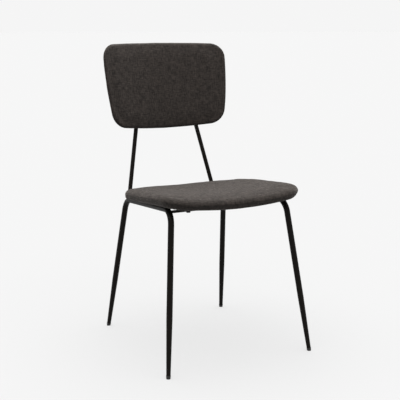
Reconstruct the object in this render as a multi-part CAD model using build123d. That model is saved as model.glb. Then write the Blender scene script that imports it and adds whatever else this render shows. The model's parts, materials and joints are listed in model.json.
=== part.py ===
from build123d import *
import os
from math import asin, atan2, cos, degrees, radians, sin, sqrt, tan

# Upholstered dining chair: two bent tube side frames, a padded seat and a padded back on two rods.
#
# Millimetres. +Z is up, the chair faces -Y, and the sitter's left is +X. The origin is on the floor,
# under the middle of the chair's overall box.

# ---- Side frames: one bent tube each, front foot - seat rail - rear foot
TUBE_D = 16.0
TUBE_WALL = 1.5
TIP_D = 11.4
TAPER_LENGTH = 150.0
BEND_R = 40.0
FRONT_FOOT_X = 215.5
FRONT_FOOT_Y = -254.5
REAR_FOOT_X = 192.5
REAR_FOOT_Y = 203.0
FRONT_KNEE_X = 171.5
FRONT_KNEE_Y = -188.5
FRONT_KNEE_Z = 419.0
REAR_KNEE_X = 159.0
REAR_KNEE_Y = 129.0
REAR_KNEE_Z = 394.0

# ---- Floor glides: plastic caps with a stem inside the leg
GLIDE_HEIGHT = 8.0
GLIDE_RIM = 0.5
GLIDE_BOTTOM_D = 9.4
STEM_LENGTH = 18.0
STEM_GAP = 0.1

# ---- Cross bars: flat steel between the rails, flush with the rails' undersides
BAR_WIDTH = 25.0
BAR_THICK = 4.0
BAR_BITE = 3.2
FRONT_BAR_BEHIND_KNEE = 16.5
REAR_BAR_BEFORE_KNEE = 45.0
FRONT_BAR_Y = FRONT_KNEE_Y + FRONT_BAR_BEHIND_KNEE
REAR_BAR_Y = REAR_KNEE_Y - REAR_BAR_BEFORE_KNEE

# ---- Back uprights: round rods that bend forward under the seat and fork over the rear bar
ROD_D = 12.0
ROD_BEND_R = 30.0
ROD_FROM_LEG = 5.0
ROD_BEHIND_KNEE = 26.0
ROD_LOW_X = REAR_KNEE_X - TUBE_D / 2 - ROD_FROM_LEG - ROD_D / 2
ROD_LOW_Y = REAR_KNEE_Y + ROD_BEHIND_KNEE
ROD_LEAN = 10.58
ROD_TOE_IN = 11.73
ROD_LAP = 20.0
ROD_IN_PAD = 13.0
ROD_BEHIND_BOARD = 2.6
TONGUE_WIDTH = 18.0
TONGUE_THICK = 4.0
TONGUE_LENGTH = 112.0
TONGUE_CORNER_R = 6.0

# ---- Seat pad: a bent plywood board, foam and a cover, with a dust cover stapled underneath
SEAT_BEFORE_FRONT_KNEE = 68.0
SEAT_SHORT_OF_REAR_KNEE = 4.5
SEAT_OUT_FROM_FRONT_KNEE = 27.5
SEAT_OUT_FROM_REAR_KNEE = 37.5
SEAT_FRONT_Y = FRONT_KNEE_Y - SEAT_BEFORE_FRONT_KNEE
SEAT_REAR_Y = REAR_KNEE_Y - SEAT_SHORT_OF_REAR_KNEE
SEAT_FRONT_HALF = FRONT_KNEE_X + SEAT_OUT_FROM_FRONT_KNEE
SEAT_REAR_HALF = REAR_KNEE_X + SEAT_OUT_FROM_REAR_KNEE
SEAT_FRONT_BOW = 13.0
SEAT_REAR_BOW = 6.5
SEAT_SIDE_BOW = 12.0
SEAT_FRONT_CORNER_R = 55.0
SEAT_REAR_CORNER_R = 100.0
SEAT_THICK = 26.5
SEAT_ROUND = 10.0
SEAT_DISH = 9.0
SEAT_FALL = 7.5
SEAT_FALL_FROM_SPACER = 1.0
SEAT_BOARD_THICK = 9.0
SEAT_FOAM_WRAP = 1.5
SEAT_GAP = 0.3
COVER_THICK = 1.2
COVER_RETURN = 32.0
DUST_COVER_THICK = 0.8
DUST_COVER_INSET = 15.0
STAPLE_PITCH = 32.0
STAPLE_LENGTH = 10.0
STAPLE_WIDTH = 1.3
STAPLE_THICK = 0.5
STAPLE_INSET = 7.0
STAPLE_SLACK = 0.05

# ---- Seat fixings: screws from below through the bars and spacers into tee nuts in the board
SCREW_X = 115.0
SCREW_D = 6.0
SCREW_HOLE_GAP = 0.3
THREAD_GAP = 0.05
SCREW_PROUD = 1.5
HEAD_D = 11.0
HEAD_HEIGHT = 3.4
SOCKET_ACROSS = 4.0
SOCKET_DEPTH = 2.0
WASHER_D = 14.0
WASHER_THICK = 1.2
SPACER_D = 17.0
NUT_BARREL_D = 8.0
NUT_FLANGE_D = 18.0
NUT_FLANGE_THICK = 1.2
NUT_SHORT = 0.3

# ---- Backrest pad: a bent board between two foam layers in one cover
BACK_CENTRE_Z = 706.0
BACK_LEAN = 11.1
BACK_TOP_HALF = 192.5
BACK_LOW_HALF = 173.5
BACK_HEIGHT = 250.0
BACK_TOP_BOW = 12.0
BACK_LOW_BOW = 6.5
BACK_SIDE_BOW = 7.5
BACK_TOP_CORNER_R = 38.5
BACK_LOW_CORNER_R = 36.0
BACK_CURVE_R = 459.0
BACK_FRONT_THICK = 16.0
BACK_REAR_THICK = 14.0
BACK_ROUND = 12.0
BACK_BOARD_THICK = 6.0
BOARD_ABOVE_ROD_END = 9.0
BACK_BOARD_INSET = ROD_IN_PAD + BOARD_ABOVE_ROD_END
BACK_SCREW_D = 5.0
BACK_HEAD_D = 9.0
BACK_HEAD_HEIGHT = 2.6
BACK_SCREW_FIRST = 30.0
BACK_SCREW_PITCH = 60.0
BACK_NUT_BARREL_D = 7.0
BACK_NUT_FLANGE_D = 14.0
BACK_NUT_FLANGE_THICK = 1.0
BACK_SCREW_PROUD = 1.0

# ---- Planes that the parts are built on
RAIL_SLOPE = degrees(atan2(FRONT_KNEE_Z - REAR_KNEE_Z, REAR_KNEE_Y - FRONT_KNEE_Y))
RAIL_HEIGHT = REAR_KNEE_Z + REAR_KNEE_Y * tan(radians(RAIL_SLOPE))
RAIL_NORMAL = (0, sin(radians(RAIL_SLOPE)), cos(radians(RAIL_SLOPE)))
RAIL_PLANE = Plane(origin=(0, 0, RAIL_HEIGHT), x_dir=(1, 0, 0), z_dir=RAIL_NORMAL)

BAR_DROP = TUBE_D / 2 - BAR_THICK / 2
BAR_TOP = BAR_THICK / 2 - BAR_DROP
BAR_UNDERSIDE = -BAR_THICK / 2 - BAR_DROP
SEAT_BEND_R = (SEAT_REAR_HALF**2 + SEAT_DISH**2) / (2 * SEAT_DISH)
REACH = 1000.0
HOLE_REACH = 100.0
BACK_PLANE_PASSES = 4
FALL_SWEEP = 40.0
UP = (Align.CENTER, Align.CENTER, Align.MIN)
DOWN = (Align.CENTER, Align.CENTER, Align.MAX)


def bend_rise(x, radius):
    """Height of a surface bent to this radius at x, above its lowest line at x = 0."""
    return radius - sqrt(radius**2 - x**2)


SEAT_UNDERSIDE = (
    TUBE_D / 2 + DUST_COVER_THICK + STAPLE_THICK + SEAT_GAP - bend_rise(REAR_KNEE_X, SEAT_BEND_R)
)
SEAT_PLANE = RAIL_PLANE.offset(SEAT_UNDERSIDE)

ROD_CORNER = RAIL_PLANE.from_local_coords(
    Vector(ROD_LOW_X, ROD_LOW_Y / cos(radians(RAIL_SLOPE)), -BAR_DROP)
)
ROD_CLIMB = Vector(-tan(radians(ROD_TOE_IN)), tan(radians(ROD_LEAN)), 1)
TONGUE_FOOT = -BACK_HEIGHT / 2 + ROD_IN_PAD


def back_plane():
    """Plane of the backrest board's rear face, standing where the rods run up just behind it."""
    lean = radians(BACK_LEAN)
    rise = 0
    for _ in range(BACK_PLANE_PASSES):
        set_back = rise - ROD_BEHIND_BOARD
        height = BACK_CENTRE_Z + TONGUE_FOOT * cos(lean) + set_back * sin(lean)
        spot = ROD_CORNER + ROD_CLIMB * (height - ROD_CORNER.Z)
        rise = bend_rise(spot.X, BACK_CURVE_R)
    centre_y = spot.Y - TONGUE_FOOT * sin(lean) + set_back * cos(lean)
    return Plane(
        origin=(0, centre_y, BACK_CENTRE_Z), x_dir=(1, 0, 0), z_dir=(0, -cos(lean), sin(lean))
    )


BACK_PLANE = back_plane()


def along_rail(y):
    """Distance along the rail plane from its origin to the point above y."""
    return y / cos(radians(RAIL_SLOPE))


# ---- Bent pads
def bowed_outline(front_half, rear_half, front, rear, bows, corner_radii, inset=0.0):
    """Rounded outline with four bowed edges. bows and corner_radii: (front, side, rear)."""
    front_bow, side_bow, rear_bow = bows
    front_edge = front + front_bow + inset
    rear_edge = rear - rear_bow - inset
    half_front = front_half - inset
    half_rear = rear_half - inset
    middle_half = (half_front + half_rear) / 2 + side_bow
    middle = (front_edge + rear_edge) / 2
    edges = (
        ThreePointArc((-half_front, front_edge), (0, front + inset), (half_front, front_edge))
        + ThreePointArc((half_front, front_edge), (middle_half, middle), (half_rear, rear_edge))
        + ThreePointArc((half_rear, rear_edge), (0, rear - inset), (-half_rear, rear_edge))
        + ThreePointArc((-half_rear, rear_edge), (-middle_half, middle), (-half_front, front_edge))
    )
    face = make_face(edges)
    corners = face.vertices().sort_by(Axis.Y)
    face = fillet(corners[:2], corner_radii[0] - inset)
    corners = face.vertices().sort_by(Axis.Y)
    return fillet(corners[-2:], corner_radii[1] - inset)


def seat_outline(inset=0.0):
    return bowed_outline(
        SEAT_FRONT_HALF,
        SEAT_REAR_HALF,
        along_rail(SEAT_FRONT_Y),
        along_rail(SEAT_REAR_Y),
        (SEAT_FRONT_BOW, SEAT_SIDE_BOW, SEAT_REAR_BOW),
        (SEAT_FRONT_CORNER_R, SEAT_REAR_CORNER_R),
        inset,
    )


def back_outline(inset=0.0):
    return bowed_outline(
        BACK_LOW_HALF,
        BACK_TOP_HALF,
        -BACK_HEIGHT / 2,
        BACK_HEIGHT / 2,
        (BACK_LOW_BOW, BACK_SIDE_BOW, BACK_TOP_BOW),
        (BACK_LOW_CORNER_R, BACK_TOP_CORNER_R),
        inset,
    )


def bent_slab(outline, radius, low, high, fall=None):
    """Slab between two heights above a surface that curls up at both sides, cut to an outline.

    fall, where the front end also curls down: (where it starts, the radius it turns about).
    """
    band = Circle(radius - low) - Circle(radius - high)
    section = (Pos(0, radius) * band) & Rectangle(radius, radius)
    start, turn_radius = fall or (-REACH, 0)
    profile = Plane(origin=(0, start, 0), x_dir=(1, 0, 0), z_dir=(0, -1, 0)) * section
    shell = extrude(profile, 2 * REACH, dir=(0, 1, 0))
    if fall:
        shell += revolve(profile, Axis((0, start, -turn_radius), (1, 0, 0)), FALL_SWEEP)
    return shell & extrude(outline, radius / 2, both=True)


def round_rims(slab, rounding, broad_count):
    """Rounds the rims of a slab whose two broad sides are this many faces in all."""
    broad = slab.faces().sort_by(SortBy.AREA)[-broad_count:]
    edges = [edge for face in broad for edge in face.edges()]
    rims = [edge for edge in edges if sum(edge.is_same(other) for other in edges) == 1]
    return fillet(rims, rounding)


def bend_place(x, y, height, radius):
    """Location at a height above a bent surface, square to it."""
    angle = asin(x / radius)
    reach = radius - height
    return Pos(reach * sin(angle), y, radius - reach * cos(angle)) * Rot(0, -degrees(angle), 0)


# ---- Side frame and its glides
def leg_point(knee, foot, height):
    """Point on a leg's centre line, a distance up along it from the floor."""
    return foot + (knee - foot).normalized() * height


FRONT_KNEE = Vector(FRONT_KNEE_X, FRONT_KNEE_Y, FRONT_KNEE_Z)
FRONT_FOOT = Vector(FRONT_FOOT_X, FRONT_FOOT_Y, 0)
REAR_KNEE = Vector(REAR_KNEE_X, REAR_KNEE_Y, REAR_KNEE_Z)
REAR_FOOT = Vector(REAR_FOOT_X, REAR_FOOT_Y, 0)
LEGS = {"front": (FRONT_KNEE, FRONT_FOOT), "rear": (REAR_KNEE, REAR_FOOT)}


def bent_tube(diameter, tip_diameter):
    """One solid bar in the side frame's shape, tapered along the lower part of both legs."""
    tops = [leg_point(*LEGS[leg], TAPER_LENGTH) for leg in ("front", "rear")]
    path = FilletPolyline(tops[0], FRONT_KNEE, REAR_KNEE, tops[1], radius=BEND_R)
    bar = sweep(Plane(origin=path @ 0, z_dir=path % 0) * Circle(diameter / 2), path=path)
    for top, (knee, foot) in zip(tops, LEGS.values()):
        taper = Cone(diameter / 2, tip_diameter / 2, TAPER_LENGTH - GLIDE_HEIGHT, align=UP)
        bar += Plane(origin=top, z_dir=foot - knee) * taper
    return bar


def side_frame():
    bore = bent_tube(TUBE_D - 2 * TUBE_WALL, TIP_D - 2 * TUBE_WALL)
    return bent_tube(TUBE_D, TIP_D) - bore


def floor_glide(knee, foot):
    """Plastic cap under a leg, with its stem inside the tube."""
    seat = Plane(origin=leg_point(knee, foot, GLIDE_HEIGHT), z_dir=knee - foot)
    below_floor = GLIDE_HEIGHT
    cap = Cone(GLIDE_BOTTOM_D / 2, TIP_D / 2 + GLIDE_RIM, GLIDE_HEIGHT + below_floor, align=DOWN)
    stem = Cylinder(TIP_D / 2 - TUBE_WALL - STEM_GAP, STEM_LENGTH, align=UP)
    glide = seat * (cap + stem)
    return glide & (Pos(foot.X, foot.Y, 0) * Box(REACH, REACH, REACH, align=UP))


# ---- Cross bars
def rail_x(y):
    """Distance of a rail's centre line from the middle plane at y."""
    share = (y - FRONT_KNEE_Y) / (REAR_KNEE_Y - FRONT_KNEE_Y)
    return FRONT_KNEE_X + share * (REAR_KNEE_X - FRONT_KNEE_X)


def cross_bar(y, tubes, screw_holes):
    """Flat bar coped to both side tubes and drilled for the seat screws."""
    half = rail_x(y) - TUBE_D / 2 + BAR_BITE
    bar = Pos(0, along_rail(y), -BAR_DROP) * Box(2 * half, BAR_WIDTH, BAR_THICK)
    return RAIL_PLANE * bar - tubes - screw_holes


# ---- Back uprights
def rod_in_back_plane(height):
    """Point on the rod's axis at a height in the backrest's plane, in that plane's coordinates."""
    low = BACK_PLANE.to_local_coords(ROD_CORNER)
    step = BACK_PLANE.to_local_coords(ROD_CORNER + ROD_CLIMB) - low
    return low + step * ((height - low.Y) / step.Y)


def tongue():
    """Flat end of the upright, bent to lie against the backrest board's rear face."""
    foot = rod_in_back_plane(TONGUE_FOOT)
    tip = rod_in_back_plane(TONGUE_FOOT + TONGUE_LENGTH)
    lean = degrees(atan2(foot.X - tip.X, tip.Y - foot.Y))
    middle = (foot + tip) * 0.5
    blade = RectangleRounded(TONGUE_WIDTH, TONGUE_LENGTH + ROD_D, TONGUE_CORNER_R)
    outline = Pos(middle.X, middle.Y) * Rot(0, 0, lean) * blade
    return BACK_PLANE * bent_slab(outline, BACK_CURVE_R, -TONGUE_THICK, 0)


def back_upright(rear_bar):
    """Rod from the rear cross bar, back under the seat and up into the backrest."""
    front_y = REAR_BAR_Y + BAR_WIDTH / 2 - ROD_LAP
    front = RAIL_PLANE.from_local_coords(Vector(ROD_LOW_X, along_rail(front_y), -BAR_DROP))
    top = BACK_PLANE.from_local_coords(rod_in_back_plane(TONGUE_FOOT))
    path = FilletPolyline(front, ROD_CORNER, top, radius=ROD_BEND_R)
    rod = sweep(Plane(origin=front, z_dir=path % 0) * Circle(ROD_D / 2), path=path)
    return rod - rear_bar + tongue()


# ---- Screws, washers and tee nuts, along their own axis with the clamped face at height 0
def hex_socket_screw(diameter, length, head_diameter, head_height):
    """Screw pointing up, its head below height 0."""
    shank = Cylinder(diameter / 2, length, align=UP)
    head = Cylinder(head_diameter / 2, head_height, align=DOWN)
    head = fillet(head.edges().group_by(Axis.Z)[0], head_height / 3)
    socket = extrude(RegularPolygon(SOCKET_ACROSS / 2, 6, major_radius=False), SOCKET_DEPTH)
    return shank + head - Pos(0, 0, -head_height) * socket


def tee_nut(barrel_diameter, flange_diameter, flange_thick, depth, bore):
    """Threaded barrel hanging down from a round flange that starts at height 0."""
    barrel = Cylinder(barrel_diameter / 2, depth, align=DOWN)
    flange = Cylinder(flange_diameter / 2, flange_thick, align=UP)
    return barrel + flange - Cylinder(bore / 2, REACH)


def ring(outer_diameter, inner_diameter, thick):
    return Cylinder(outer_diameter / 2, thick, align=UP) - Cylinder(inner_diameter / 2, REACH)


# ---- Seat
SCREW_UNDER = BAR_UNDERSIDE - WASHER_THICK
BOARD_LOW = COVER_THICK
BOARD_HIGH = COVER_THICK + SEAT_BOARD_THICK
BOARD_TOP_AT_SCREW = SEAT_UNDERSIDE + BOARD_HIGH + bend_rise(SCREW_X, SEAT_BEND_R)
SCREW_LENGTH = BOARD_TOP_AT_SCREW + SCREW_PROUD - SCREW_UNDER
BACK_SCREW_LENGTH = TONGUE_THICK + BACK_BOARD_THICK + BACK_SCREW_PROUD


def at_seat_screws(height, solid):
    """Copies of a solid at the four seat screws, at a height above the rail plane."""
    places = [(side * SCREW_X, along_rail(y)) for y in (FRONT_BAR_Y, REAR_BAR_Y) for side in (-1, 1)]
    return Compound(children=[RAIL_PLANE * Pos(x, y, height) * solid for x, y in places])


SEAT_FALL_START = along_rail(FRONT_BAR_Y) - SPACER_D / 2 - SEAT_FALL_FROM_SPACER
SEAT_FALL_LENGTH = SEAT_FALL_START - along_rail(SEAT_FRONT_Y)
SEAT_FALL_R = (SEAT_FALL_LENGTH**2 + SEAT_FALL**2) / (2 * SEAT_FALL)


def seat_layer(inset, low, high, rounding=0.0):
    fall = (SEAT_FALL_START, SEAT_FALL_R)
    slab = bent_slab(seat_outline(inset), SEAT_BEND_R, low, high, fall)
    if rounding:
        slab = round_rims(slab, rounding, 4)
    return SEAT_PLANE * slab


def seat_place(x, y, height):
    """Location at a height above the seat's curved underside, square to it."""
    turn = degrees(asin(max(SEAT_FALL_START - y, 0) / SEAT_FALL_R))
    rearward = Pos(0, max(y - SEAT_FALL_START, 0), 0)
    turned = Pos(0, SEAT_FALL_START, -SEAT_FALL_R) * Rot(turn, 0, 0) * Pos(0, 0, SEAT_FALL_R)
    return rearward * turned * bend_place(x, 0, height, SEAT_BEND_R)


def seat_pad(screw_holes, screws):
    """Board, foam, cover, dust cover and tee nuts."""
    board = seat_layer(SEAT_ROUND + SEAT_FOAM_WRAP, BOARD_LOW, BOARD_HIGH)
    nut_depth = SEAT_BOARD_THICK - NUT_SHORT
    nut_bore = SCREW_D + 2 * THREAD_GAP
    nuts = tee_nut(NUT_BARREL_D, NUT_FLANGE_D, NUT_FLANGE_THICK, nut_depth, nut_bore)
    flange_room = Cylinder(NUT_FLANGE_D / 2, NUT_FLANGE_THICK, align=UP)
    barrel_room = Cylinder(NUT_BARREL_D / 2, 3 * SEAT_BOARD_THICK)
    nut_room = flange_room + Cylinder(NUT_BARREL_D / 2, nut_depth, align=DOWN)
    outside = seat_layer(0, 0, SEAT_THICK, SEAT_ROUND)
    inside = seat_layer(
        COVER_THICK, COVER_THICK, SEAT_THICK - COVER_THICK, SEAT_ROUND - COVER_THICK
    )
    opening = seat_layer(COVER_RETURN, -COVER_THICK, 2 * COVER_THICK)
    drilled = board - at_seat_screws(BOARD_TOP_AT_SCREW, barrel_room)
    foam = inside - board - at_seat_screws(BOARD_TOP_AT_SCREW, nut_room) - screws
    return {
        "seat_board": drilled,
        "seat_tee_nuts": at_seat_screws(BOARD_TOP_AT_SCREW, nuts) - drilled,
        "seat_foam": foam,
        "seat_cover": outside - inside - opening,
        "seat_dust_cover": seat_layer(DUST_COVER_INSET, -DUST_COVER_THICK, 0) - screw_holes,
    }


def dust_cover_staples():
    """Staple crowns in a row round the dust cover's edge."""
    rim = seat_outline(DUST_COVER_INSET + STAPLE_INSET).face().outer_wire()
    crown = Box(STAPLE_LENGTH, STAPLE_WIDTH, STAPLE_THICK, align=UP)
    count = round(rim.length / STAPLE_PITCH)
    staples = []
    for share in (number / count for number in range(count)):
        spot, run = rim @ share, rim % share
        place = seat_place(spot.X, spot.Y, -DUST_COVER_THICK - STAPLE_THICK - STAPLE_SLACK)
        staples.append(SEAT_PLANE * place * Rot(0, 0, degrees(atan2(run.Y, run.X))) * crown)
    return Compound(children=staples)


def seat_spacers():
    """Plastic sleeves between the bars and the dust cover, cut to the pad's curved underside."""
    sleeve = ring(SPACER_D, SCREW_D + 2 * SCREW_HOLE_GAP, BOARD_TOP_AT_SCREW - BAR_TOP)
    return at_seat_screws(BAR_TOP, sleeve) - seat_layer(0, -DUST_COVER_THICK, SEAT_THICK)


# ---- Backrest
def back_layer(inset, low, high, rounding=0.0):
    slab = bent_slab(back_outline(inset), BACK_CURVE_R, low, high)
    if rounding:
        slab = round_rims(slab, rounding, 2)
    return BACK_PLANE * slab


def at_back_screws(height, solid):
    """Copies of a solid at the four backrest screws, at a height above the board's rear face."""
    spots = []
    for rise in (BACK_SCREW_FIRST, BACK_SCREW_FIRST + BACK_SCREW_PITCH):
        spot = rod_in_back_plane(TONGUE_FOOT + rise)
        spots += [(-spot.X, spot.Y), (spot.X, spot.Y)]
    places = [bend_place(x, y, height, BACK_CURVE_R) for x, y in spots]
    return Compound(children=[BACK_PLANE * place * solid for place in places])


def backrest_pad(uprights, screws):
    """Board, two foam layers, cover and tee nuts."""
    board = back_layer(BACK_BOARD_INSET, 0, BACK_BOARD_THICK)
    nut_depth = BACK_BOARD_THICK - NUT_SHORT
    nut_bore = BACK_SCREW_D + 2 * THREAD_GAP
    nuts = tee_nut(
        BACK_NUT_BARREL_D, BACK_NUT_FLANGE_D, BACK_NUT_FLANGE_THICK, nut_depth, nut_bore
    )
    flange_room = Cylinder(BACK_NUT_FLANGE_D / 2, BACK_NUT_FLANGE_THICK, align=UP)
    barrel_room = Cylinder(BACK_NUT_BARREL_D / 2, 3 * BACK_BOARD_THICK)
    drilled = board - at_back_screws(BACK_BOARD_THICK, barrel_room)
    outside = back_layer(0, -BACK_REAR_THICK, BACK_FRONT_THICK, BACK_ROUND)
    inside = back_layer(
        COVER_THICK,
        COVER_THICK - BACK_REAR_THICK,
        BACK_FRONT_THICK - COVER_THICK,
        BACK_ROUND - COVER_THICK,
    )
    rear_half = back_layer(0, -BACK_REAR_THICK, 0)
    flange_rooms = at_back_screws(BACK_BOARD_THICK, flange_room)
    return {
        "backrest_board": drilled,
        "backrest_tee_nuts": at_back_screws(BACK_BOARD_THICK, nuts) - drilled,
        "backrest_front_foam": inside - rear_half - board - flange_rooms - uprights - screws,
        "backrest_rear_foam": (inside & rear_half) - uprights - screws,
        "backrest_cover": outside - inside - uprights,
    }


def both_sides(name, solid):
    """A piece on the sitter's left and its mirror image on the right, as named solids."""
    return {f"left_{name}": solid, f"right_{name}": mirror(solid, about=Plane.YZ)}


def chair():
    """Every separate piece of the chair by name."""
    parts = both_sides("side_frame", side_frame())
    for leg, (knee, foot) in LEGS.items():
        parts |= both_sides(f"{leg}_glide", floor_glide(knee, foot))

    tubes = Compound(children=list(both_sides("tube", bent_tube(TUBE_D, TIP_D)).values()))
    screw_holes = at_seat_screws(0, Cylinder(SCREW_D / 2 + SCREW_HOLE_GAP, HOLE_REACH))
    parts["front_cross_bar"] = cross_bar(FRONT_BAR_Y, tubes, screw_holes)
    parts["rear_cross_bar"] = cross_bar(REAR_BAR_Y, tubes, screw_holes)

    back_screw = hex_socket_screw(BACK_SCREW_D, BACK_SCREW_LENGTH, BACK_HEAD_D, BACK_HEAD_HEIGHT)
    back_screws = at_back_screws(-TONGUE_THICK, back_screw)
    back_holes = at_back_screws(0, Cylinder(BACK_SCREW_D / 2 + SCREW_HOLE_GAP, HOLE_REACH))
    upright = back_upright(parts["rear_cross_bar"])
    parts |= both_sides("back_upright", upright - back_holes)
    uprights = Compound(children=list(both_sides("rod", upright).values()))
    parts |= backrest_pad(uprights, back_screws)
    parts["backrest_screws"] = back_screws

    seat_screw = hex_socket_screw(SCREW_D, SCREW_LENGTH, HEAD_D, HEAD_HEIGHT)
    seat_screws = at_seat_screws(SCREW_UNDER, seat_screw)
    washer = ring(WASHER_D, SCREW_D + 2 * SCREW_HOLE_GAP, WASHER_THICK)
    parts |= seat_pad(screw_holes, seat_screws)
    parts["seat_screws"] = seat_screws
    parts["seat_washers"] = at_seat_screws(SCREW_UNDER, washer)
    parts["seat_spacers"] = seat_spacers()
    parts["dust_cover_staples"] = dust_cover_staples()
    return parts


os.makedirs("parts", exist_ok=True)
for part_name, part_solid in chair().items():
    export_step(part_solid, f"parts/{part_name}.step")
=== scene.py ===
import json
import math

import bpy
import numpy as np
from mathutils import Matrix, Vector, noise
from mathutils.kdtree import KDTree


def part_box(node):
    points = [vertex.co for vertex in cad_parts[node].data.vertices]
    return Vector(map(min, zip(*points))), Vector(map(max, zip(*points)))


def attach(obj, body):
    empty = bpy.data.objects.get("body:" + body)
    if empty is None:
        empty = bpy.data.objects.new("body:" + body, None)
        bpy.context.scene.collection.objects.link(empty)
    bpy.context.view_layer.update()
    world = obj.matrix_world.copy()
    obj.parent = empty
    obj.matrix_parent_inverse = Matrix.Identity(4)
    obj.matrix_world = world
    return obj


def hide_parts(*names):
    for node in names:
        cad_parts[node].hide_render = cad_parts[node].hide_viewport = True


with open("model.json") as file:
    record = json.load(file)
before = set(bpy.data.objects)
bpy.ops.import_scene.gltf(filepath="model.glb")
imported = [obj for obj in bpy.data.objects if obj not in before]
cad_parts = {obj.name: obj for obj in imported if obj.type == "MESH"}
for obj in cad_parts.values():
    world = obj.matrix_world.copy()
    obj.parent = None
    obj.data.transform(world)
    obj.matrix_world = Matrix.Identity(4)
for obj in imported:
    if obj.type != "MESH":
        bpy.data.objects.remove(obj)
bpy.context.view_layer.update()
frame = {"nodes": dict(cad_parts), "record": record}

nodes = frame["nodes"]
MM = 0.001


# ---------------------------------------------------------------- camera, floor and light
CAMERA_AT = (-1.1281, -2.1534, 0.8665)
CAMERA_YAW = 0.4863
CAMERA_PITCH = 0.1902
CAMERA_ROLL = -0.0013
CAMERA_LENS = 79.27
CAMERA_SENSOR = 36.0
VIEW_DISTANCE = 1000.0

FLOOR_HALF = 400.0
FLOOR_GREY = 0.11
FLOOR_GLOW = 0.646

BACKDROP = 0.914
WALLS = 0.3
CEILING = 4.6
BOUNCE = 0.40

SOFTBOXES = (
    # name, place, point it faces, side, power
    ("key", (-0.10, -0.12, 1.25), (0.0, 0.16, 0.8), 0.35, 1.6),
    ("rim", (0.05, 0.42, 1.40), (0.0, 0.2, 0.8), 0.5, 5.5),
)


def make_camera():
    data = bpy.data.cameras.new("camera")
    data.lens = CAMERA_LENS
    data.sensor_width = CAMERA_SENSOR
    data.clip_end = VIEW_DISTANCE
    camera = bpy.data.objects.new("camera", data)
    bpy.context.scene.collection.objects.link(camera)
    turn = Matrix.Rotation(-CAMERA_YAW, 4, "Z") @ Matrix.Rotation(math.pi / 2 - CAMERA_PITCH, 4, "X")
    camera.matrix_world = Matrix.Translation(CAMERA_AT) @ turn @ Matrix.Rotation(CAMERA_ROLL, 4, "Z")
    bpy.context.scene.camera = camera


def make_floor():
    """Wide pale floor, its own glow keeping the shadows faint."""
    mesh = bpy.data.meshes.new("floor")
    corners = [(x * FLOOR_HALF, y * FLOOR_HALF, 0) for x, y in ((-1, -1), (1, -1), (1, 1), (-1, 1))]
    mesh.from_pydata(corners, [], [(0, 1, 2, 3)])
    floor = bpy.data.objects.new("floor", mesh)
    bpy.context.scene.collection.objects.link(floor)
    material = bpy.data.materials.new("floor")
    material.use_nodes = True
    shader = material.node_tree.nodes["Principled BSDF"]
    shader.inputs["Base Color"].default_value = (FLOOR_GREY, FLOOR_GREY, FLOOR_GREY, 1)
    shader.inputs["Roughness"].default_value = 1.0
    shader.inputs["Specular IOR Level"].default_value = 0.0
    shader.inputs["Emission Color"].default_value = (1, 1, 1, 1)
    shader.inputs["Emission Strength"].default_value = FLOOR_GLOW
    mesh.materials.append(material)
    floor.visible_diffuse = False


def make_world():
    """Pale band round the horizon, dimmer walls, a broad bright ceiling and soft light from below."""
    world = bpy.data.worlds.new("studio")
    world.use_nodes = True
    tree = world.node_tree
    background = tree.nodes["Background"]
    place = tree.nodes.new("ShaderNodeTexCoord")
    split = tree.nodes.new("ShaderNodeSeparateXYZ")
    ramp = tree.nodes.new("ShaderNodeValToRGB")
    tree.links.new(place.outputs["Generated"], split.inputs[0])
    upward = tree.nodes.new("ShaderNodeMapRange")
    upward.inputs["From Min"].default_value = -1.0
    tree.links.new(split.outputs["Z"], upward.inputs["Value"])
    tree.links.new(upward.outputs["Result"], ramp.inputs["Fac"])
    tree.links.new(ramp.outputs["Color"], background.inputs["Color"])
    background.inputs["Strength"].default_value = CEILING
    stops = (
        (0.0, BOUNCE), (0.485, BOUNCE), (0.495, BACKDROP), (0.6, BACKDROP),
        (0.67, WALLS), (0.8, WALLS), (0.9, CEILING), (1.0, CEILING),
    )
    elements = ramp.color_ramp.elements
    while len(elements) < len(stops):
        elements.new(0.5)
    for element, (position, level) in zip(elements, stops):
        element.position = position
        element.color = (level / CEILING, level / CEILING, level / CEILING, 1)
    bpy.context.scene.world = world


def make_lights(lit):
    """Softboxes that light the chair only, so that the floor stays even."""
    for name, at, aim, size, power in SOFTBOXES:
        data = bpy.data.lights.new(name, "AREA")
        data.shape = "SQUARE"
        data.size = size
        data.energy = power
        light = bpy.data.objects.new(name, data)
        light.location = at
        light.rotation_euler = (Vector(aim) - Vector(at)).to_track_quat("-Z", "Y").to_euler()
        light.light_linking.receiver_collection = lit
        bpy.context.scene.collection.objects.link(light)


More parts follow.
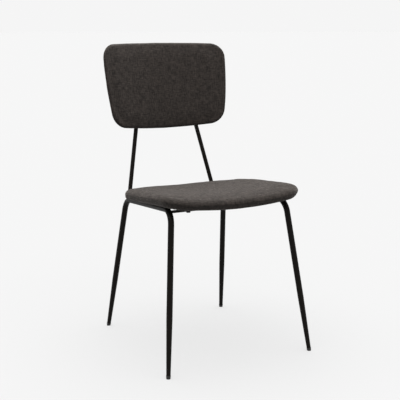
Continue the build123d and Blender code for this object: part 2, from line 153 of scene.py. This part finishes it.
# ---------------------------------------------------------------- materials
class Nodes:
    """Short way to add and join shader nodes."""

    def __init__(self, name):
        self.material = bpy.data.materials.new(name)
        self.material.use_nodes = True
        self.tree = self.material.node_tree
        self.shader = self.tree.nodes["Principled BSDF"]

    def add(self, kind, inputs=None, **settings):
        node = self.tree.nodes.new("ShaderNode" + kind)
        for key, value in settings.items():
            setattr(node, key, value)
        for key, value in (inputs or {}).items():
            if isinstance(value, bpy.types.NodeSocket):
                self.tree.links.new(value, node.inputs[key])
            else:
                node.inputs[key].default_value = value
        return node

    def math(self, operation, a, b=0.0, clamp=False):
        return self.add("Math", {0: a, 1: b}, operation=operation, use_clamp=clamp).outputs[0]

    def noise(self, vector, scale, detail=2.0, roughness=0.5):
        inputs = {"Vector": vector, "Scale": scale, "Detail": detail, "Roughness": roughness}
        return self.add("TexNoise", inputs).outputs["Fac"]

    def stretched(self, vector, scales):
        return self.add("Mapping", {"Vector": vector, "Scale": scales}).outputs["Vector"]

    def span(self, value, low, high, to_low, to_high):
        inputs = {0: value, 1: low, 2: high, 3: to_low, 4: to_high}
        return self.add("MapRange", inputs).outputs[0]

    def blend(self, factor, a, b):
        return self.add(
            "Mix", {0: factor, 6: a, 7: b}, data_type="RGBA", blend_type="MIX"
        ).outputs[2]

    def bump(self, height, distance, strength=1.0):
        inputs = {"Height": height, "Distance": distance, "Strength": strength}
        self.tree.links.new(
            self.add("Bump", inputs).outputs["Normal"], self.shader.inputs["Normal"]
        )

    def join(self, socket, name):
        self.tree.links.new(socket, self.shader.inputs[name])

    def put(self, **values):
        for name, value in values.items():
            self.shader.inputs[name.replace("_", " ")].default_value = value


def shade(level, tint=(1.0, 1.0, 1.0)):
    return (level * tint[0], level * tint[1], level * tint[2], 1.0)


def fabric_material():
    """Charcoal brown woven cloth: two sets of uneven yarns, lighter flecks, a soft nap, and painted shade
    in the weave's hollows.
    """
    n = Nodes("woven_fabric")
    cloth = n.add("Attribute", attribute_name="cloth").outputs["Vector"]
    split = n.add("SeparateXYZ", {0: cloth})
    pitch = 1.35 * MM
    wave = 2 * math.pi / pitch
    drift = n.span(n.noise(cloth, 60.0), 0.0, 1.0, -0.4 * MM, 0.4 * MM)
    across = n.math("MULTIPLY", n.math("ADD", split.outputs["X"], drift), wave / 2)
    along = n.math("MULTIPLY", n.math("ADD", split.outputs["Y"], drift), wave / 2)
    warp = n.math("ABSOLUTE", n.math("SINE", across))
    weft = n.math("ABSOLUTE", n.math("SINE", along))
    over = n.math("MULTIPLY", n.math("COSINE", across), n.math("COSINE", along))
    over = n.span(over, -0.25, 0.25, 0.0, 1.0)
    height = n.add("Mix", {0: over, 2: warp, 3: weft}).outputs[0]

    warp_yarn = n.noise(n.stretched(cloth, (700.0, 22.0, 1.0)), 1.0, 3.0, 0.6)
    weft_yarn = n.noise(n.stretched(cloth, (22.0, 700.0, 1.0)), 1.0, 3.0, 0.6)
    yarn = n.add("Mix", {0: over, 2: warp_yarn, 3: weft_yarn}).outputs[0]
    patches = n.noise(cloth, 34.0, 3.0, 0.6)
    warp_fleck = n.noise(n.stretched(cloth, (300.0, 75.0, 1.0)), 1.0, 2.0, 0.6)
    weft_fleck = n.noise(n.stretched(cloth, (75.0, 300.0, 1.0)), 1.0, 2.0, 0.6)
    fleck = n.math("MULTIPLY", n.math("ADD", warp_fleck, weft_fleck), 0.5)
    tone = n.math("ADD", n.math("MULTIPLY", yarn, 0.30), n.math("MULTIPLY", patches, 0.15))
    tone = n.math("ADD", tone, n.math("MULTIPLY", fleck, 0.55))
    tone = n.span(tone, 0.40, 0.60, 0.0, 1.0)
    # Painted shade: the tone is made darker where the weave's height is low, in the hollows between the
    # crossing yarns.
    tone = n.math("MULTIPLY", tone, n.span(height, 0.0, 1.0, 0.55, 1.0))
    colour = n.blend(tone, (0.0050, 0.0039, 0.0033, 1), (0.0400, 0.0325, 0.0284, 1))
    n.join(colour, "Base Color")
    fuzz = n.noise(cloth, 2600.0, 2.0)
    n.bump(n.math("ADD", height, n.math("MULTIPLY", fuzz, 0.35)), 0.22 * MM, 0.75)
    n.join(n.span(patches, 0.3, 0.7, 0.84, 0.95), "Roughness")
    n.join(n.span(tone, 0.0, 1.0, 0.05, 0.34), "Sheen Weight")
    n.put(Specular_IOR_Level=0.13, Sheen_Roughness=0.42)
    n.put(Sheen_Tint=(0.82, 0.75, 0.70, 1))
    return n.material


def thread_material():
    n = Nodes("sewing_thread")
    place = n.add("TexCoord").outputs["Object"]
    ply = n.add(
        "TexWave", {"Vector": place, "Scale": 900.0, "Distortion": 1.5}, bands_direction="DIAGONAL"
    ).outputs["Fac"]
    # Painted shade: the thread's colour is darker in the low grooves between the plies, following the same
    # pattern as its bump.
    n.join(n.blend(ply, (0.018, 0.015, 0.013, 1), (0.052, 0.044, 0.039, 1)), "Base Color")
    n.bump(ply, 0.08 * MM)
    n.put(Roughness=0.7, Specular_IOR_Level=0.3, Sheen_Weight=0.2)
    return n.material


def dust_cloth_material():
    """Black spunbond: matted fibres with a grid of small pressed dots."""
    n = Nodes("dust_cloth")
    cloth = n.add("Attribute", attribute_name="cloth").outputs["Vector"]
    fibres = n.noise(n.stretched(cloth, (900.0, 260.0, 1.0)), 1.0, 4.0, 0.7)
    crossing = n.noise(n.stretched(cloth, (240.0, 980.0, 1.0)), 1.0, 4.0, 0.7)
    mat = n.math("MULTIPLY", n.math("ADD", fibres, crossing), 0.5)
    dots = n.add("TexVoronoi", {"Vector": cloth, "Scale": 520.0, "Randomness": 0.15}).outputs["Distance"]
    dots = n.span(dots, 0.18, 0.34, 0.0, 1.0)
    tone = n.math("MULTIPLY", n.span(mat, 0.3, 0.7, 0.0, 1.0), dots)
    n.join(n.blend(tone, (0.008, 0.008, 0.0085, 1), (0.030, 0.030, 0.031, 1)), "Base Color")
    n.join(n.span(dots, 0.0, 1.0, 0.62, 0.9), "Roughness")
    n.bump(n.math("ADD", n.math("MULTIPLY", dots, 0.6), mat), 0.12 * MM)
    n.put(Specular_IOR_Level=0.25, Sheen_Weight=0.1)
    return n.material


def paint_material():
    """Satin black powder coat with a fine orange peel and faint handling marks."""
    n = Nodes("black_powder_coat")
    place = n.add("TexCoord").outputs["Object"]
    peel = n.noise(place, 850.0, 2.0, 0.55)
    speck = n.noise(place, 3200.0, 1.0)
    marks = n.noise(n.stretched(place, (30.0, 30.0, 9.0)), 1.0, 4.0, 0.65)
    n.join(n.blend(marks, (0.0032, 0.0024, 0.0017, 1), (0.0064, 0.0048, 0.0035, 1)), "Base Color")
    rubbed = n.span(marks, 0.3, 0.7, 0.34, 0.44)
    n.join(n.math("ADD", rubbed, n.span(speck, 0.3, 0.7, 0.0, 0.05)), "Roughness")
    n.bump(n.math("ADD", peel, n.math("MULTIPLY", speck, 0.25)), 0.05 * MM, 0.6)
    n.put(Specular_IOR_Level=0.09)
    return n.material


def plastic_material():
    n = Nodes("black_moulded_plastic")
    place = n.add("TexCoord").outputs["Object"]
    grain = n.add("TexVoronoi", {"Vector": place, "Scale": 1500.0}).outputs["Distance"]
    wear = n.noise(place, 160.0, 4.0, 0.6)
    n.join(n.blend(wear, (0.009, 0.009, 0.009, 1), (0.020, 0.0195, 0.019, 1)), "Base Color")
    n.join(n.span(wear, 0.3, 0.7, 0.5, 0.66), "Roughness")
    n.bump(grain, 0.04 * MM, 0.7)
    n.put(Specular_IOR_Level=0.35)
    return n.material


def steel_material(name, dark, light, rough):
    n = Nodes(name)
    place = n.add("TexCoord").outputs["Object"]
    blotch = n.noise(place, 420.0, 4.0, 0.6)
    scratch = n.noise(n.stretched(place, (2600.0, 300.0, 300.0)), 1.0, 2.0)
    n.join(n.blend(blotch, dark, light), "Base Color")
    dulled = n.span(blotch, 0.3, 0.7, rough, rough + 0.12)
    n.join(n.math("ADD", dulled, n.math("MULTIPLY", scratch, 0.08)), "Roughness")
    n.bump(scratch, 0.02 * MM, 0.5)
    n.put(Metallic=1.0)
    return n.material


def wood_material():
    n = Nodes("beech_plywood")
    place = n.add("TexCoord").outputs["Object"]
    lengthwise = n.stretched(place, (60.0, 4.0, 60.0))
    rings = n.add(
        "TexWave", {"Vector": lengthwise, "Scale": 1.0, "Distortion": 5.0, "Detail": 3.0}
    ).outputs["Fac"]
    pores = n.noise(n.stretched(place, (1400.0, 60.0, 1400.0)), 1.0, 2.0)
    grain = n.math("MULTIPLY", n.math("ADD", rings, pores), 0.5)
    n.join(n.blend(grain, (0.36, 0.22, 0.11, 1), (0.66, 0.49, 0.31, 1)), "Base Color")
    n.join(n.span(pores, 0.3, 0.7, 0.5, 0.7), "Roughness")
    n.bump(grain, 0.1 * MM, 0.5)
    return n.material


def foam_material():
    """Pale open-celled polyurethane foam."""
    n = Nodes("polyurethane_foam")
    place = n.add("TexCoord").outputs["Object"]
    cells = n.add("TexVoronoi", {"Vector": place, "Scale": 900.0}).outputs["Distance"]
    stain = n.noise(place, 25.0, 3.0)
    n.join(n.blend(stain, (0.55, 0.50, 0.36, 1), (0.74, 0.70, 0.55, 1)), "Base Color")
    n.join(n.span(cells, 0.0, 0.6, 0.98, 0.82), "Roughness")
    n.bump(cells, 0.3 * MM)
    n.put(Specular_IOR_Level=0.15)
    return n.material


# ---------------------------------------------------------------- pad shapes
EDGE_POINTS = 40
CORNER_POINTS = 30


def bowed_edge(start, end, bow, count):
    share = np.linspace(0, 1, count)[:, None]
    run = end - start
    outward = np.array([run[1], -run[0]]) / np.hypot(*run)
    return start + run * share + outward * bow * 4 * share * (1 - share)


def outline(corners, bows, cuts):
    """Closed outline through bowed edges whose corners are cut back and rounded, anticlockwise."""
    sides = len(corners)
    edges = []
    for k in range(sides):
        line = bowed_edge(corners[k], corners[(k + 1) % sides], bows[k], 3 * EDGE_POINTS)
        run = np.r_[0, np.cumsum(np.hypot(*np.diff(line, axis=0).T))]
        spots = np.linspace(cuts[k], run[-1] - cuts[(k + 1) % sides], EDGE_POINTS)
        edges.append(np.c_[np.interp(spots, run, line[:, 0]), np.interp(spots, run, line[:, 1])])
    points = []
    for k in range(sides):
        before, after = edges[k], edges[(k + 1) % sides]
        points.append(before)
        leave = before[-1] - before[-2]
        leave /= np.hypot(*leave)
        arrive = after[1] - after[0]
        arrive /= np.hypot(*arrive)
        gap = np.hypot(*(after[0] - before[-1]))
        turn = math.acos(max(-1.0, min(1.0, float(leave @ arrive))))
        handle = gap * (2 / 3) / (1 + math.cos(turn / 2))
        t = np.linspace(0, 1, CORNER_POINTS + 2)[1:-1][:, None]
        controls = (before[-1], before[-1] + leave * handle, after[0] - arrive * handle, after[0])
        points.append(
            (1 - t) ** 3 * controls[0]
            + 3 * (1 - t) ** 2 * t * controls[1]
            + 3 * (1 - t) * t * t * controls[2]
            + t**3 * controls[3]
        )
    return np.vstack(points)


def corner_weight():
    """How far into a rounded corner each outline point is, from 0 on the edges to 1."""
    weight = []
    for _ in range(4):
        weight += [0.0] * EDGE_POINTS
        weight += [math.sin(math.pi * (k + 1) / (CORNER_POINTS + 1)) for k in range(CORNER_POINTS)]
    return np.array(weight)


def edge_profile(thick, upper, lower, steps):
    """(inset, height) pairs up a rounded rim: a quarter round of each radius, run together."""
    heights = thick * (0.5 - 0.5 * np.cos(np.linspace(0, math.pi, steps)))
    below = np.clip(1 - heights / lower, 0, 1)
    above = np.clip(1 - (thick - heights) / upper, 0, 1)
    inset_low = lower * (1 - np.sqrt(1 - below**2))
    inset_high = upper * (1 - np.sqrt(1 - above**2))
    return np.maximum(inset_low, inset_high), heights


SHRINK_STEPS = (0.93, 0.86, 0.78, 0.7, 0.61, 0.52, 0.43, 0.34, 0.25, 0.16, 0.08)


def pad_rings(plan, thick, upper, lower, extra_low=(), extra_high=(), steps=26, outset=0.0):
    """Plan outline, height and inset of every ring, from the underside's middle to the top's."""
    insets, heights = edge_profile(thick, upper, lower, steps)
    rings = [(plan(inset - outset), height, inset) for inset, height in zip(insets, heights)]
    under = [(plan(inset - outset), 0.0, inset) for inset in sorted(extra_low, reverse=True)]
    over = [(plan(inset - outset), thick, inset) for inset in sorted(extra_high)]
    rings = under + rings + over
    low_plan, _, low_inset = rings[0]
    high_plan, _, high_inset = rings[-1]
    for share in SHRINK_STEPS:
        centre = low_plan.mean(axis=0)
        rings.insert(0, (centre + (low_plan - centre) * share, 0.0, low_inset + 150 * MM * (1 - share)))
    for share in SHRINK_STEPS:
        centre = high_plan.mean(axis=0)
        rings.append((centre + (high_plan - centre) * share, thick, high_inset + 150 * MM * (1 - share)))
    return rings


def cloth_places(rings, points, shoulder):
    """Place of every point on the flat cloth: the plan inside the shoulder ring, then on round the rim."""
    places = [ring[0].copy() for ring in rings]
    for k in range(shoulder - 1, -1, -1):
        edge = np.roll(rings[shoulder][0], -1, axis=0) - np.roll(rings[shoulder][0], 1, axis=0)
        outward = np.c_[edge[:, 1], -edge[:, 0]]
        outward /= np.linalg.norm(outward, axis=1)[:, None]
        step = np.linalg.norm(points[k] - points[k + 1], axis=1)
        places[k] = places[k + 1] + outward * step[:, None]
    return places


def ring_mesh(name, points, places, closed=True):
    """Mesh over rings of points, capped at both ends (or at the last ring only), with its cloth places."""
    count = len(points[0])
    vertices = [tuple(p) for ring in points for p in ring]
    cloth = [(p[0], p[1], 0.0) for ring in places for p in ring]
    faces = []
    for k in range(len(points) - 1):
        for i in range(count):
            j = (i + 1) % count
            faces.append((k * count + i, k * count + j, (k + 1) * count + j, (k + 1) * count + i))
    ends = [(len(points) - 1, False)]
    if closed:
        ends.append((0, True))
    for k, flipped in ends:
        middle = len(vertices)
        vertices.append(tuple(np.mean(points[k], axis=0)))
        cloth.append((*np.mean(places[k], axis=0), 0.0))
        for i in range(count):
            j = (i + 1) % count
            a, b = k * count + i, k * count + j
            faces.append((b, a, middle) if flipped else (a, b, middle))
    mesh = bpy.data.meshes.new(name)
    mesh.from_pydata(vertices, [], faces)
    mesh.attributes.new("cloth", "FLOAT_VECTOR", "POINT").data.foreach_set("vector", np.ravel(cloth))
    mesh.polygons.foreach_set("use_smooth", [True] * len(faces))
    mesh.update()
    piece = bpy.data.objects.new(name, mesh)
    bpy.context.scene.collection.objects.link(piece)
    return piece


# ---------------------------------------------------------------- cloth softening
CLOTH_FRAMES = 20
CLOTH_VOXEL = 5.5 * MM
CLOTH_PRESSURE = 4.0
CLOTH_NEIGHBOURS = 8
SEAT_SWELL = 1.6 * MM
BACK_SWELL = 1.2 * MM
BROAD_LUMPS = 0.5 * MM
FINE_LUMPS = 0.18 * MM


def coordinates(mesh):
    flat = np.empty(3 * len(mesh.vertices))
    mesh.vertices.foreach_get("co", flat)
    return flat.reshape(-1, 3)


def normals_of(mesh):
    flat = np.empty(3 * len(mesh.vertices))
    mesh.vertices.foreach_get("normal", flat)
    return flat.reshape(-1, 3)


def inflate(piece, voxel, held, pressure, cap):
    """Blows up a remeshed copy as cloth, and moves the piece's own points by what the copy moved."""
    scene = bpy.context.scene
    work = bpy.data.objects.new("work", piece.data.copy())
    scene.collection.objects.link(work)
    remesh = work.modifiers.new("remesh", "REMESH")
    remesh.mode = "VOXEL"
    remesh.voxel_size = voxel
    graph = bpy.context.evaluated_depsgraph_get()
    mesh = bpy.data.meshes.new_from_object(work.evaluated_get(graph))
    work.modifiers.clear()
    work.data = mesh
    start = coordinates(mesh)
    group = work.vertex_groups.new(name="held")
    group.add([k for k, point in enumerate(start) if held(point)], 1.0, "REPLACE")
    cloth = work.modifiers.new("cloth", "CLOTH")
    settings = cloth.settings
    settings.quality = 5
    settings.mass = 0.35
    settings.tension_stiffness = settings.compression_stiffness = 25.0
    settings.shear_stiffness = 12.0
    settings.bending_stiffness = 1.5
    settings.use_pressure = True
    settings.uniform_pressure_force = pressure
    settings.effector_weights.gravity = 0.0
    settings.vertex_group_mass = "held"
    cloth.point_cache.frame_start = 1
    cloth.point_cache.frame_end = CLOTH_FRAMES
    for step in range(1, CLOTH_FRAMES + 1):
        scene.frame_set(step)
    graph = bpy.context.evaluated_depsgraph_get()
    moved = coordinates(work.evaluated_get(graph).data) - start
    tree = KDTree(len(start))
    for k, point in enumerate(start):
        tree.insert(point, k)
    tree.balance()
    own = coordinates(piece.data)
    for k, point in enumerate(own):
        found = tree.find_n(point, CLOTH_NEIGHBOURS)
        weights = np.array([1 / (distance + voxel / 2) for _, _, distance in found])
        shift = (moved[[index for _, index, _ in found]] * weights[:, None]).sum(axis=0) / weights.sum()
        size = np.linalg.norm(shift)
        if size > 0:
            own[k] = own[k] + shift * (cap * math.tanh(size / cap) / size)
    piece.data.vertices.foreach_set("co", own.ravel())
    piece.data.update()
    scene.frame_set(1)
    bpy.data.objects.remove(work)


def fabric_unevenness(piece, broad, fine):
    """Very small lumps, as padding under cloth has."""
    own, out = coordinates(piece.data), normals_of(piece.data)
    for k, point in enumerate(own):
        lump = noise.noise(Vector(point) * 22.0) * broad + noise.noise(Vector(point) * 75.0) * fine
        own[k] = point + out[k] * lump
    piece.data.vertices.foreach_set("co", own.ravel())
    piece.data.update()


# ---------------------------------------------------------------- seat pad
rail_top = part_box("left_side_frame")[1][2]
seat_low, seat_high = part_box("seat_cover")
SEAT_FRONT = seat_low[1] - 1.5 * MM
SEAT_REAR = seat_high[1] - 1.7 * MM
SEAT_FRONT_HALF = 199.1 * MM
SEAT_REAR_HALF = 196.4 * MM
SEAT_BOWS = (13.2 * MM, 12.1 * MM, 6.4 * MM, 12.1 * MM)
SEAT_CUTS = (55.0 * MM, 106.3 * MM)
SEAT_THICK = 29.0 * MM
SEAT_UPPER_ROUND = 16.0 * MM
SEAT_LOWER_ROUND = 20.4 * MM
SEAT_CROWN = 3.2 * MM
SEAT_SLOPE = 0.0838
SEAT_DISH_FRONT = 11.9 * MM
SEAT_DISH_REAR = 7.9 * MM
SEAT_FALL = 7.6 * MM
SEAT_FALL_LENGTH = 110 * MM
BOARD_SLOPE = 0.0787
BOARD_BEND = 2.15
BOARD_FALL = 7.5 * MM
BOARD_FALL_LENGTH = 75 * MM
REAR_CORNER_FULLNESS = 6.5 * MM
SEAT_BASE_BELOW_RAIL = 10.4 * MM
BOARD_BELOW_RAIL = 16.3 * MM
SEAT_TACKED_BELOW = 6 * MM
GATHER_DEPTH = 0.45 * MM
GATHER_SPACING = 4.5


def seat_plan(inset):
    front = SEAT_FRONT + SEAT_BOWS[0] + inset
    rear = SEAT_REAR - SEAT_BOWS[2] - inset
    a, b = SEAT_FRONT_HALF - inset, SEAT_REAR_HALF - inset
    corners = [np.array(c) for c in ((-a, front), (a, front), (b, rear), (-b, rear))]
    cuts = [max(cut - inset, 4 * MM) for cut in (SEAT_CUTS[0], SEAT_CUTS[0], SEAT_CUTS[1], SEAT_CUTS[1])]
    return outline(corners, SEAT_BOWS, cuts)


def lip_base(x, y):
    """Height that the pad's rim and top are measured from."""
    share = (y - SEAT_FRONT) / (SEAT_REAR - SEAT_FRONT)
    dish = SEAT_DISH_FRONT + (SEAT_DISH_REAR - SEAT_DISH_FRONT) * share
    past = np.clip((SEAT_FRONT + SEAT_FALL_LENGTH - y) / SEAT_FALL_LENGTH, 0, None)
    level = rail_top - SEAT_BASE_BELOW_RAIL - SEAT_SLOPE * y
    return level - dish * (1 - (x / SEAT_FRONT_HALF) ** 2) - SEAT_FALL * past**2


def board_base(x, y):
    """Height of the board's underside, which the dust cover lies against."""
    past = np.clip((SEAT_FRONT + BOARD_FALL_LENGTH - y) / BOARD_FALL_LENGTH, 0, None)
    level = rail_top - BOARD_BELOW_RAIL - BOARD_SLOPE * y
    return level + x**2 / (2 * BOARD_BEND) - BOARD_FALL * past**2


def smooth_step(value, low, high):
    share = np.clip((value - low) / (high - low), 0, 1)
    return share * share * (3 - 2 * share)


def fuller_rear_corners(plan, inset, corner):
    """Lower rim brought outwards at the two rear corners, so that it covers the board's own."""
    push = min(REAR_CORNER_FULLNESS * (1 - smooth_step(inset, 24 * MM, 38 * MM)), inset)
    if push <= 0:
        return plan
    share = (corner * (plan[:, 1] > 0))[:, None]
    return plan + (seat_plan(inset - push) - plan) * share


def seat_cushion():
    rings = pad_rings(
        seat_plan,
        SEAT_THICK,
        SEAT_UPPER_ROUND,
        SEAT_LOWER_ROUND,
        extra_low=[inset * MM for inset in (22, 24, 26, 29, 33, 38)],
        extra_high=[inset * MM for inset in (19, 23, 28, 34, 41)],
    )
    corner = corner_weight()
    around = np.arange(len(corner))
    points = []
    for plan, height, inset in rings:
        if height < SEAT_THICK / 2:
            plan = fuller_rear_corners(plan, inset, corner)
        x, y = plan[:, 0], plan[:, 1]
        z = lip_base(x, y) + height
        if height >= SEAT_THICK / 2:
            z = z + SEAT_CROWN * (1 - np.clip(1 - (inset - 10 * MM) / (80 * MM), 0, 1) ** 2)
        else:
            tucked = smooth_step(inset, 17 * MM, 34 * MM)
            z = z * (1 - tucked) + (board_base(x, y) + height) * tucked
            gather = corner * np.sin(around * 2 * math.pi / GATHER_SPACING) * GATHER_DEPTH
            fading = 1 - smooth_step(inset, 22 * MM, 34 * MM)
            z = z - gather * smooth_step(inset, 7 * MM, 14 * MM) * fading
        points.append(np.c_[x, y, z])
    shoulder = next(k for k, ring in enumerate(rings) if ring[1] >= SEAT_THICK and k > len(SHRINK_STEPS))
    piece = ring_mesh("seat_cushion", points, cloth_places(rings, points, shoulder))
    def tacked(p):
        return p[2] < lip_base(p[0], p[1]) + SEAT_TACKED_BELOW

    inflate(piece, CLOTH_VOXEL, tacked, CLOTH_PRESSURE, SEAT_SWELL)
    fabric_unevenness(piece, BROAD_LUMPS, FINE_LUMPS)
    return piece


DUST_COVER_INSET = 15 * MM
DUST_COVER_GAP = 0.4 * MM
DUST_COVER_THICK = 0.5 * MM
DUST_COVER_SAG = 1.2 * MM
DUST_COVER_RINGS = 24


def dust_cover():
    """Thin cloth stapled under the seat, hanging very slightly between its staples."""
    rim = seat_plan(DUST_COVER_INSET)
    centre = rim.mean(axis=0)
    plans, points = [], []
    for share in np.linspace(0.05, 1.0, DUST_COVER_RINGS)[::-1]:
        plan = centre + (rim - centre) * share
        x, y = plan[:, 0], plan[:, 1]
        sag = DUST_COVER_SAG * (1 - share**2)
        plans.append(plan)
        points.append(np.c_[x, y, board_base(x, y) - DUST_COVER_GAP - sag])
    piece = ring_mesh("dust_cover", points, plans, closed=False)
    shell = piece.modifiers.new("thickness", "SOLIDIFY")
    shell.thickness = DUST_COVER_THICK
    shell.offset = 0.0
    return piece


# ---------------------------------------------------------------- backrest pad
back_low, back_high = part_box("backrest_cover")
BACK_CENTRE = ((back_high[1] - 35.8 * MM), (back_low[2] + back_high[2]) / 2 - 0.3 * MM)
BACK_LEAN = 0.1942
BACK_TOP_HALF = 192.4 * MM
BACK_LOW_HALF = 173.4 * MM
BACK_HEIGHT = 250.3 * MM
BACK_BOWS = (6.7 * MM, 7.5 * MM, 11.8 * MM, 7.5 * MM)
BACK_CUTS = (36.0 * MM, 38.5 * MM)
BACK_THICK = 27.5 * MM
BACK_FRONT_ROUND = 8.5 * MM
BACK_REAR_ROUND = 25.3 * MM
BACK_CROWN = 3.0 * MM
BACK_REAR_CROWN = 2.0 * MM
BACK_CURL = 43.6 * MM
BACK_SEAM_INSET = 27 * MM
BACK_OUTSET = 2.1 * MM
SEAM_HALF_WIDTH = 0.9 * MM
SEAM_DEPTH = 1.3 * MM


def back_plan(inset):
    low = -BACK_HEIGHT / 2 + BACK_BOWS[0] + inset
    high = BACK_HEIGHT / 2 - BACK_BOWS[2] - inset
    a, b = BACK_LOW_HALF - inset, BACK_TOP_HALF - inset
    corners = [np.array(c) for c in ((-a, low), (a, low), (b, high), (-b, high))]
    cuts = [max(cut - inset, 4 * MM) for cut in (BACK_CUTS[0], BACK_CUTS[0], BACK_CUTS[1], BACK_CUTS[1])]
    return outline(corners, BACK_BOWS, cuts)


def back_point(x, v, n):
    """Point in the row frame from the place across, up the lean and towards the sitter."""
    forward = n - BACK_THICK / 2 + BACK_CURL * (x / 0.2) ** 2
    lean_sin, lean_cos = math.sin(BACK_LEAN), math.cos(BACK_LEAN)
    y = BACK_CENTRE[0] + v * lean_sin - forward * lean_cos
    z = BACK_CENTRE[1] + v * lean_cos + forward * lean_sin
    return np.c_[x, y, z]


def swelling(x, v, reach=68 * MM):
    """From 0 at the pad's edge to 1 well inside it."""
    half = BACK_LOW_HALF + (BACK_TOP_HALF - BACK_LOW_HALF) * (v / BACK_HEIGHT + 0.5)
    a = np.clip((half - np.abs(x)) / reach, 0, 1)
    b = np.clip((BACK_HEIGHT / 2 - np.abs(v)) / reach, 0, 1)
    return (1 - (1 - a) ** 2) * (1 - (1 - b) ** 2)


def seam_dip(inset, centre, width, depth):
    return depth * np.exp(-(((inset - centre) / width) ** 2))


def back_cushion():
    steps = (-1.6, -1.0, -0.5, 0.0, 0.5, 1.0, 1.6, 3.0, 5.0, 9.0, 14.0)
    seam = [BACK_SEAM_INSET + step * MM for step in steps]
    rings = pad_rings(
        back_plan,
        BACK_THICK,
        BACK_FRONT_ROUND,
        BACK_REAR_ROUND,
        extra_low=seam,
        extra_high=[inset * MM for inset in (11, 14, 18, 23, 29, 34)],
        steps=30,
        outset=BACK_OUTSET,
    )
    points = []
    for plan, height, inset in rings:
        x, v = plan[:, 0], plan[:, 1]
        if height >= BACK_THICK / 2:
            n = height + BACK_CROWN * swelling(x, v) * smooth_step(inset, 2 * MM, 12 * MM)
        else:
            n = height - BACK_REAR_CROWN * swelling(x, v) * smooth_step(inset, 14 * MM, 40 * MM)
            n = n + seam_dip(inset, BACK_SEAM_INSET, SEAM_HALF_WIDTH, SEAM_DEPTH)
        points.append(back_point(x, v, n))
    shoulder = next(k for k, ring in enumerate(rings) if ring[1] >= BACK_THICK and k > len(SHRINK_STEPS))
    piece = ring_mesh("backrest_cushion", points, cloth_places(rings, points, shoulder))
    inflate(piece, CLOTH_VOXEL, lambda p: False, CLOTH_PRESSURE, BACK_SWELL)
    fabric_unevenness(piece, BROAD_LUMPS, FINE_LUMPS)
    return piece


STITCH_PITCH = 5.5 * MM
STITCH_LENGTH = 4.2 * MM
STITCH_RADIUS = 0.45 * MM
STITCH_LIFT = 0.2 * MM
STITCH_BESIDE_SEAM = 2.5 * MM
STITCH_SIDES = 8
STITCH_SHARES = (-0.97, -0.8, -0.45, 0.0, 0.45, 0.8, 0.97)


def stitch(start, end, up, first):
    """Vertices and faces of one thread-thick stitch, its vertices numbered on from first."""
    middle, along = (start + end) / 2, (end - start) / 2
    side = np.cross(along, up)
    side /= np.linalg.norm(side)
    turns = np.arange(STITCH_SIDES) * 2 * math.pi / STITCH_SIDES
    vertices, faces = [], []
    for share in STITCH_SHARES:
        radius = STITCH_RADIUS * math.sqrt(1 - share**2)
        rim = [(side * math.cos(t) + up * math.sin(t)) * radius for t in turns]
        vertices += [tuple(middle + along * share + spoke) for spoke in rim]
    last = first + (len(STITCH_SHARES) - 1) * STITCH_SIDES
    for low in range(first, last, STITCH_SIDES):
        for i in range(STITCH_SIDES):
            j = (i + 1) % STITCH_SIDES
            faces.append((low + i, low + j, low + STITCH_SIDES + j, low + STITCH_SIDES + i))
    faces.append(tuple(first + i for i in reversed(range(STITCH_SIDES))))
    faces.append(tuple(last + i for i in range(STITCH_SIDES)))
    return vertices, faces


def stitching(pad):
    """Row of stitches on the pad's surface, just inside the seam on its rear."""
    rim = back_plan(BACK_SEAM_INSET + STITCH_BESIDE_SEAM)
    loop = np.vstack((rim, rim[:1]))
    run = np.r_[0, np.cumsum(np.hypot(*np.diff(loop, axis=0).T))]
    count = round(run[-1] / STITCH_PITCH)
    bpy.context.view_layer.update()
    vertices, faces = [], []
    for middle in (np.arange(count) + 0.5) * run[-1] / count:
        ends = []
        for spot in (middle - STITCH_LENGTH / 2, middle + STITCH_LENGTH / 2):
            x, v = np.interp(spot, run, loop[:, 0]), np.interp(spot, run, loop[:, 1])
            guess = back_point(np.array([x]), np.array([v]), np.array([0.0]))[0]
            _, place, normal, _ = pad.closest_point_on_mesh(Vector(guess))
            ends.append(np.array(place + normal * STITCH_LIFT))
        more_vertices, more_faces = stitch(ends[0], ends[1], np.array(normal), len(vertices))
        vertices += more_vertices
        faces += more_faces
    mesh = bpy.data.meshes.new("backrest_stitching")
    mesh.from_pydata(vertices, [], faces)
    mesh.polygons.foreach_set("use_smooth", [True] * len(faces))
    mesh.update()
    piece = bpy.data.objects.new("backrest_stitching", mesh)
    bpy.context.scene.collection.objects.link(piece)
    return piece


# ---------------------------------------------------------------- build
make_camera()
make_floor()
make_world()
bpy.context.scene.view_settings.view_transform = "Standard"

fabric = fabric_material()
paint = paint_material()
plastic = plastic_material()
wood = wood_material()
foam = foam_material()
zinc = steel_material("zinc_plated_steel", (0.40, 0.40, 0.39, 1), (0.66, 0.66, 0.63, 1), 0.28)
blackened = steel_material("blackened_steel", (0.018, 0.018, 0.018, 1), (0.05, 0.05, 0.05, 1), 0.35)
dust_cloth = dust_cloth_material()
finishes = {
    "frame_paint": paint,
    "upholstery": fabric,
    "dust_cloth": dust_cloth,
    "foam": foam,
    "plywood": wood,
    "glide_plastic": plastic,
    "black_steel": blackened,
    "zinc_steel": zinc,
}
slot_of = {part["node"]: part["material_slot"] for part in frame["record"]["subparts"]}
for name, node in nodes.items():
    for spot in node.material_slots:
        spot.material = finishes[slot_of[name]]
    if not node.material_slots:
        node.data.materials.append(finishes[slot_of[name]])

seat = seat_cushion()
seat.data.materials.append(fabric)
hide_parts("seat_cover", "seat_foam")
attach(seat, "root")

back = back_cushion()
back.data.materials.append(fabric)
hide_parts("backrest_cover", "backrest_front_foam", "backrest_rear_foam")
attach(back, "root")

stitches = stitching(back)
stitches.data.materials.append(thread_material())
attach(stitches, "root")

sheet = dust_cover()
sheet.data.materials.append(dust_cloth)
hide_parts("seat_dust_cover")
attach(sheet, "root")

lit = bpy.data.collections.new("lit_by_softboxes")
for piece in [*nodes.values(), seat, back, stitches, sheet]:
    lit.objects.link(piece)
make_lights(lit)
